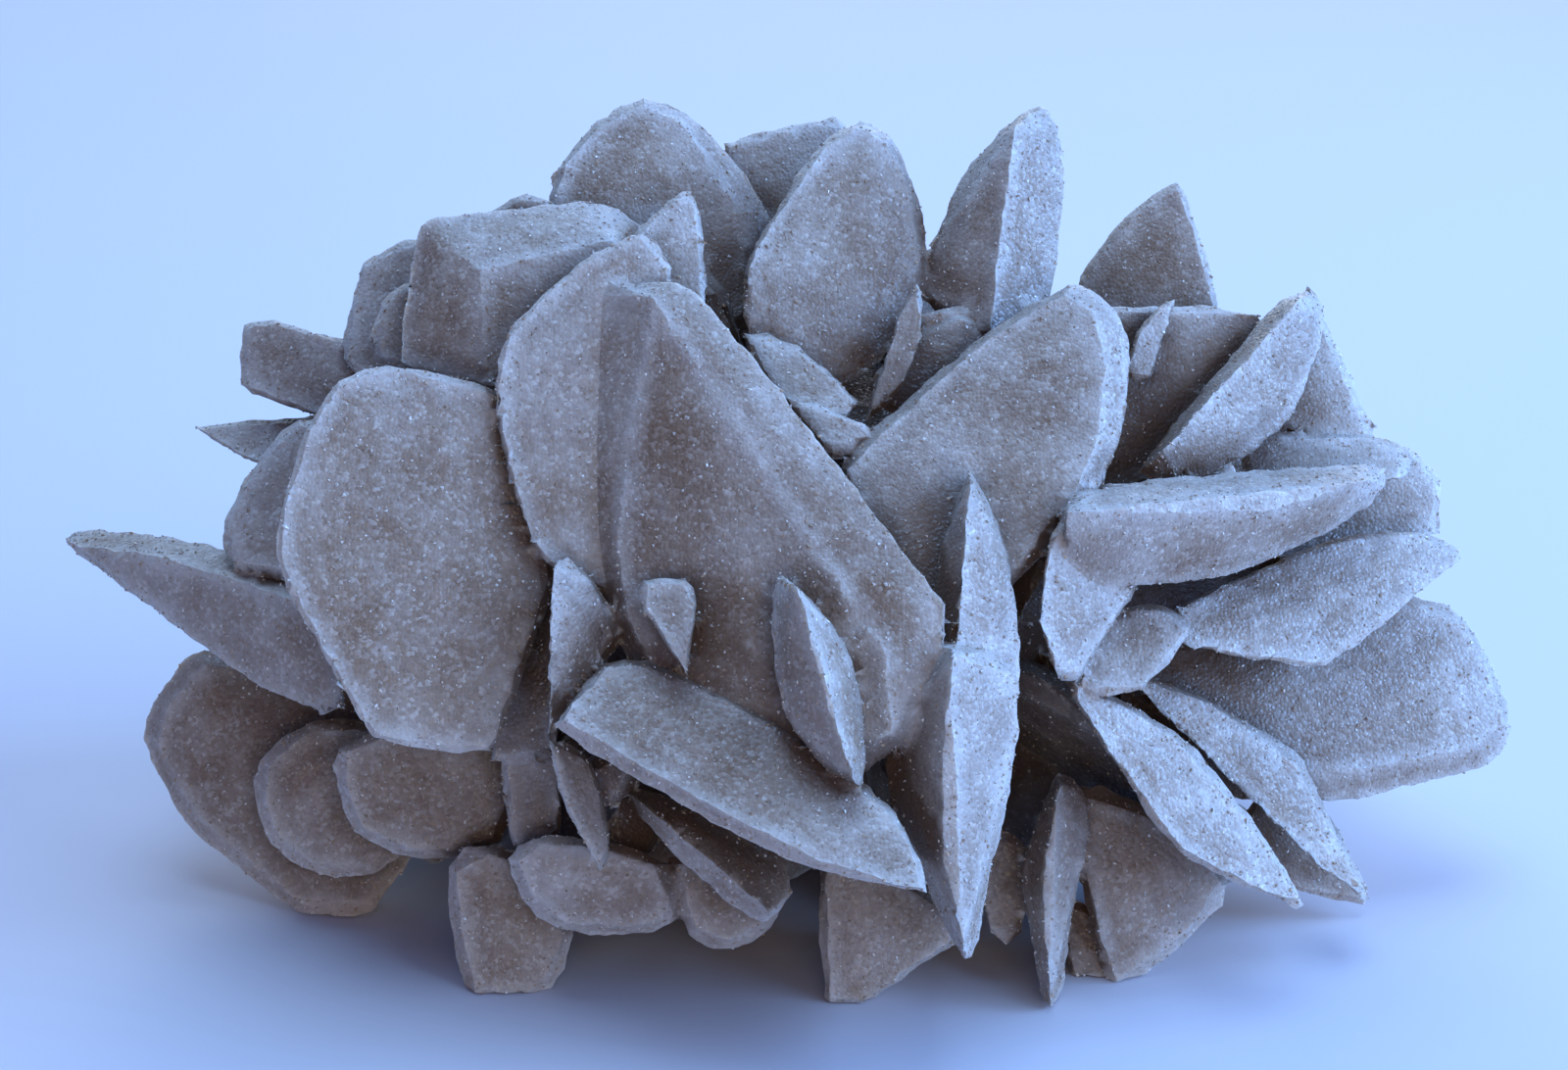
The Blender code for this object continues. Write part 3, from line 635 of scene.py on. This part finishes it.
    def build(self) -> bpy.types.Object:
        """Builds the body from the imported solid.

        Returns:
            The finished body, not yet dressed.
        """
        shape = self.merged_source()
        edges = self.edge_tree(shape)
        solid = BVHTree.FromBMesh(shape)
        mesh = self.fine_mesh(shape)
        shape.free()
        self.weathered(mesh, edges)
        mesh.calc_loop_triangles()
        share = min(1.0, self.most_triangles / len(mesh.loop_triangles))
        mesh = self.with_modifier(mesh, "DECIMATE", {"ratio": share})
        for vert in mesh.vertices:
            vert.co.z = max(vert.co.z, 0.0)
        mesh.name = "rose_body"
        self.mark(mesh, edges, solid)
        mesh.shade_smooth()
        mesh.set_sharp_from_angle(angle=self.shading_crease)
        made = bpy.data.objects.new("rose_body", mesh)
        bpy.context.scene.collection.objects.link(made)
        return made

    def dress(self, body: bpy.types.Object) -> None:
        """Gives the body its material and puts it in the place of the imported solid.

        Args:
            body: the crystals.
        """
        body.data.materials.clear()
        body.data.materials.append(SandFilledGypsum().material())
        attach(body, "root")
        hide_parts(ROSE_NODE)


@dataclass
class GrainCoat:
    """Sand grains of one kind, half sunk in the surface of the crystals.

    count: how many grains.
    least_mm, most_mm: size of the smallest and the largest.
    flatness: thickness over width.
    rim_gain: how much thicker they lie along the rims.
    corner_least, corner_most, corner_scatter: how uneven the corners of a grain are.
    stretch_least, stretch_most: how far a grain is drawn out along each of its axes.
    small_bias: a power that makes small grains the more common ones.
    lean: how far a grain leans on its seat.
    deepest_mm, highest_mm: how far a grain's middle lies under and over the surface.
    open_share, least_share: how thickly grains lie on an open face and in the deepest recess.
    """

    finish: GrainFinish
    form: GrainForm
    count: int
    least_mm: float
    most_mm: float
    flatness: float
    rim_gain: float
    seed: int
    corner_least: float = 0.65
    corner_most: float = 1.15
    corner_scatter: float = 0.16
    stretch_least: float = 0.75
    stretch_most: float = 1.25
    small_bias: float = 2.2
    lean: float = 0.4
    deepest_mm: float = -0.12
    highest_mm: float = 0.08
    open_share: float = 1.15
    least_share: float = 0.15

    def drawn(self, dice: np.random.Generator) -> np.ndarray:
        """Draws the corners of every grain, uneven and each of its own size.

        Args:
            dice: the seeded random source.

        Returns:
            The corners of each grain round its own middle, in metres.
        """
        ball = np.array(self.form.value[0], dtype=float)
        uneven = ball[None] * dice.uniform(self.corner_least, self.corner_most,
                                           (self.count, len(ball), 1))
        uneven += dice.normal(0.0, self.corner_scatter, (self.count, len(ball), 3))
        stretch = dice.uniform(self.stretch_least, self.stretch_most, (self.count, 1, 3))
        stretch[:, :, 2] *= self.flatness
        share = dice.random(self.count) ** self.small_bias
        size = self.least_mm + (self.most_mm - self.least_mm) * share
        return uneven * stretch * (size * MM / 2)[:, None, None]

    def upright(self, facing: np.ndarray, dice: np.random.Generator) -> np.ndarray:
        """Makes a turn for each grain that sets it roughly upright on its seat.

        Args:
            facing: which way the surface faces at each seat.
            dice: the seeded random source.

        Returns:
            The three axes of each turned grain, as columns.
        """
        up = facing + dice.normal(0.0, self.lean, facing.shape)
        up /= np.linalg.norm(up, axis=1, keepdims=True)
        side = np.cross(up, dice.normal(size=facing.shape))
        side /= np.linalg.norm(side, axis=1, keepdims=True)
        return np.stack((side, np.cross(up, side), up), axis=2)

    def seats(self, body: bpy.types.Object,
              dice: np.random.Generator) -> tuple[np.ndarray, np.ndarray]:
        """Picks a seat for each grain on the body, thicker along rims and on open faces.

        Args:
            body: the crystals.
            dice: the seeded random source.

        Returns:
            The seats and the way the surface faces at each.
        """
        mesh = body.data
        mesh.calc_loop_triangles()
        count = len(mesh.loop_triangles)
        triangles = np.empty(count * 3, dtype=np.int32)
        mesh.loop_triangles.foreach_get("vertices", triangles)
        triangles = triangles.reshape(-1, 3)
        places = np.empty(len(mesh.vertices) * 3)
        mesh.vertices.foreach_get("co", places)
        rim = point_values(mesh, "rim")[triangles].mean(axis=1)
        shelter = point_values(mesh, "shelter")[triangles].mean(axis=1)
        corner = places.reshape(-1, 3)[triangles]
        across = np.cross(corner[:, 1] - corner[:, 0], corner[:, 2] - corner[:, 0])
        area = np.linalg.norm(across, axis=1)
        weight = area * (1.0 + self.rim_gain * rim)
        weight *= np.clip(self.open_share - shelter, self.least_share, 1.0)
        picked = dice.choice(count, self.count, p=weight / weight.sum())
        share = dice.random((self.count, 2))
        over = share.sum(axis=1) > 1.0
        share[over] = 1.0 - share[over]
        chosen = corner[picked]
        seats = chosen[:, 0] + share[:, :1] * (chosen[:, 1] - chosen[:, 0])
        seats += share[:, 1:] * (chosen[:, 2] - chosen[:, 0])
        facing = across[picked] / np.maximum(area[picked], LEAST_AREA)[:, None]
        return seats, facing

    def build(self, body: bpy.types.Object) -> bpy.types.Object:
        """Builds the grains as one joined mesh on the body.

        Args:
            body: the crystals.

        Returns:
            The grains, not yet dressed.
        """
        dice = np.random.default_rng(self.seed)
        drawn = self.drawn(dice)
        seats, facing = self.seats(body, dice)
        corners = np.einsum("nij,nkj->nki", self.upright(facing, dice), drawn)
        sink = dice.uniform(self.deepest_mm, self.highest_mm, self.count) * MM
        corners += (seats + facing * sink[:, None])[:, None, :]
        corners[:, :, 2] = np.maximum(corners[:, :, 2], 0.0)
        sides = np.array(self.form.value[1])
        each = corners.shape[1]
        faces = (sides[None] + np.arange(self.count)[:, None, None] * each).reshape(-1, 3)
        mesh = bpy.data.meshes.new(self.finish.kind.value)
        mesh.from_pydata(corners.reshape(-1, 3), [], faces)
        tone = mesh.attributes.new("tone", "FLOAT", "POINT")
        tone.data.foreach_set("value", np.repeat(dice.random(self.count), each))
        mesh.update()
        made = bpy.data.objects.new(self.finish.kind.value, mesh)
        bpy.context.scene.collection.objects.link(made)
        return made

    def dress(self, grains: bpy.types.Object) -> None:
        """Gives the grains their material.

        Args:
            grains: the joined grains.
        """
        grains.data.materials.append(self.finish.material())
        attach(grains, "root")


@dataclass
class PhotoCamera:
    """The camera at the photograph's angle. The picture is 1600 x 1092, 36 mm wide on the sensor."""

    aim: Vector = field(default_factory=lambda: Vector((-0.542, 4.496, 45.0)) * MM)
    pitch: float = math.radians(20.0)
    distance_mm: float = 375.0
    lens_mm: float = 67.5
    sensor_mm: float = 36.0
    nearest: float = 0.01
    farthest: float = 20.0

    def build(self) -> None:
        """Makes the camera and sets it as the scene's."""
        data = bpy.data.cameras.new("camera")
        data.lens = self.lens_mm
        data.sensor_width = self.sensor_mm
        data.clip_start = self.nearest
        data.clip_end = self.farthest
        made = bpy.data.objects.new("camera", data)
        towards = Vector((0.0, -math.cos(self.pitch), math.sin(self.pitch)))
        made.location = self.aim + towards * (self.distance_mm * MM)
        made.rotation_euler = (math.pi / 2 - self.pitch, 0.0, 0.0)
        bpy.context.scene.collection.objects.link(made)
        bpy.context.scene.camera = made


@dataclass(frozen=True)
class Softbox:
    """A soft square light that points at the middle of the rose.

    place: where it stands, in metres.
    edge: edge of its square, in metres.
    watts: its power.
    colour: its tint, as an sRGB hex value.
    aim_height: how high above the floor it points, in metres.
    """

    name: str
    place: tuple[float, float, float]
    edge: float
    watts: float
    colour: str
    aim_height: float = 0.05

    def build(self) -> None:
        """Makes the light."""
        data = bpy.data.lights.new(self.name, "AREA")
        data.size = self.edge
        data.energy = self.watts
        data.color = linear(self.colour)[:3]
        made = bpy.data.objects.new(self.name, data)
        made.location = self.place
        aim = Vector((0.0, 0.0, self.aim_height)) - made.location
        made.rotation_euler = aim.to_track_quat("-Z", "Y").to_euler()
        bpy.context.scene.collection.objects.link(made)


SOFTBOXES = (
    Softbox("window", (1.1, 0.05, 0.5), edge=0.7, watts=23.5, colour="86b8ff"),
    Softbox("window_front", (1.0, -0.6, 0.5), edge=0.7, watts=10.5, colour="9cc4ff"),
    Softbox("room", (0.1, -1.2, 0.25), edge=0.9, watts=4.6, colour="ffe9c4"),
    Softbox("overhead", (0.0, 0.1, 1.2), edge=0.9, watts=12.5, colour="a2ccff"),
    Softbox("back_left", (-0.6, 0.9, 0.8), edge=0.9, watts=5.0, colour="b4daff"),
    Softbox("far_back", (0.2, 1.9, 0.8), edge=1.2, watts=13.0, colour="f0f6ff"),
)


@dataclass
class Studio:
    """A plain pale floor under soft cool daylight, most of it from the right."""

    floor_size: float = 8.0
    floor_colour: str = "cdcad1"
    floor_roughness: float = 0.7
    sky_colour: str = "5a84ff"
    sky_strength: float = 0.22

    def build(self) -> None:
        """Builds the floor, the sky and the lights."""
        self.build_floor()
        self.build_sky()
        for softbox in SOFTBOXES:
            softbox.build()
        bpy.context.scene.view_settings.view_transform = "Standard"

    def build_floor(self) -> None:
        """Makes the floor of painted board: rolled paint, flat and pale, with no pattern."""
        mesh = bpy.data.meshes.new("floor")
        shape = bmesh.new()
        bmesh.ops.create_grid(shape, x_segments=2, y_segments=2, size=self.floor_size / 2)
        shape.to_mesh(mesh)
        shape.free()
        made = bpy.data.objects.new("floor", mesh)
        finish, _, shader = new_material("painted_board")
        shader.inputs["Base Color"].default_value = linear(self.floor_colour)
        shader.inputs["Roughness"].default_value = self.floor_roughness
        mesh.materials.append(finish)
        bpy.context.scene.collection.objects.link(made)

    def build_sky(self) -> None:
        """Makes the even light from all round."""
        world = bpy.data.worlds.new("daylight")
        world.use_nodes = True
        sky = world.node_tree.nodes["Background"]
        sky.inputs["Color"].default_value = linear(self.sky_colour)
        sky.inputs["Strength"].default_value = self.sky_strength
        bpy.context.scene.world = world


GRAIN_COATS = (
    GrainCoat(GrainFinish(GrainKind.CLEAR_QUARTZ, "9c948b", "cbc6bf", roughness=0.12, ior=1.54),
              GrainForm.PEBBLE, count=24000, least_mm=0.3, most_mm=0.66, flatness=0.62,
              rim_gain=1.0, seed=101),
    GrainCoat(GrainFinish(GrainKind.HONEY_QUARTZ, "8c7966", "b19c86", roughness=0.25, ior=1.54),
              GrainForm.PEBBLE, count=24000, least_mm=0.3, most_mm=0.66, flatness=0.62,
              rim_gain=0.8, seed=102),
    GrainCoat(GrainFinish(GrainKind.BROWN_SAND, "857363", "a08f7f", roughness=0.5, ior=1.5),
              GrainForm.SPLINTER, count=48000, least_mm=0.3, most_mm=0.6, flatness=0.5,
              rim_gain=0.6, seed=103),
    GrainCoat(GrainFinish(GrainKind.SELENITE_FLAKE, "a0958a", "e6e3de", roughness=0.08, ior=1.53),
              GrainForm.SPLINTER, count=48000, least_mm=0.3, most_mm=0.6, flatness=0.45,
              rim_gain=1.0, seed=104),
)


def main() -> None:
    """Builds the rose, its sand and the studio."""
    logging.basicConfig(level=logging.INFO)
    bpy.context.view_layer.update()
    PhotoCamera().build()
    maker = RoseBody()
    body = maker.build()
    maker.dress(body)
    LOG.info("%s: %d faces", body.name, len(body.data.polygons))
    for coat in GRAIN_COATS:
        grains = coat.build(body)
        coat.dress(grains)
        LOG.info("%s: %d grains", grains.name, coat.count)
    Studio().build()


if __name__ == "__main__":
    main()
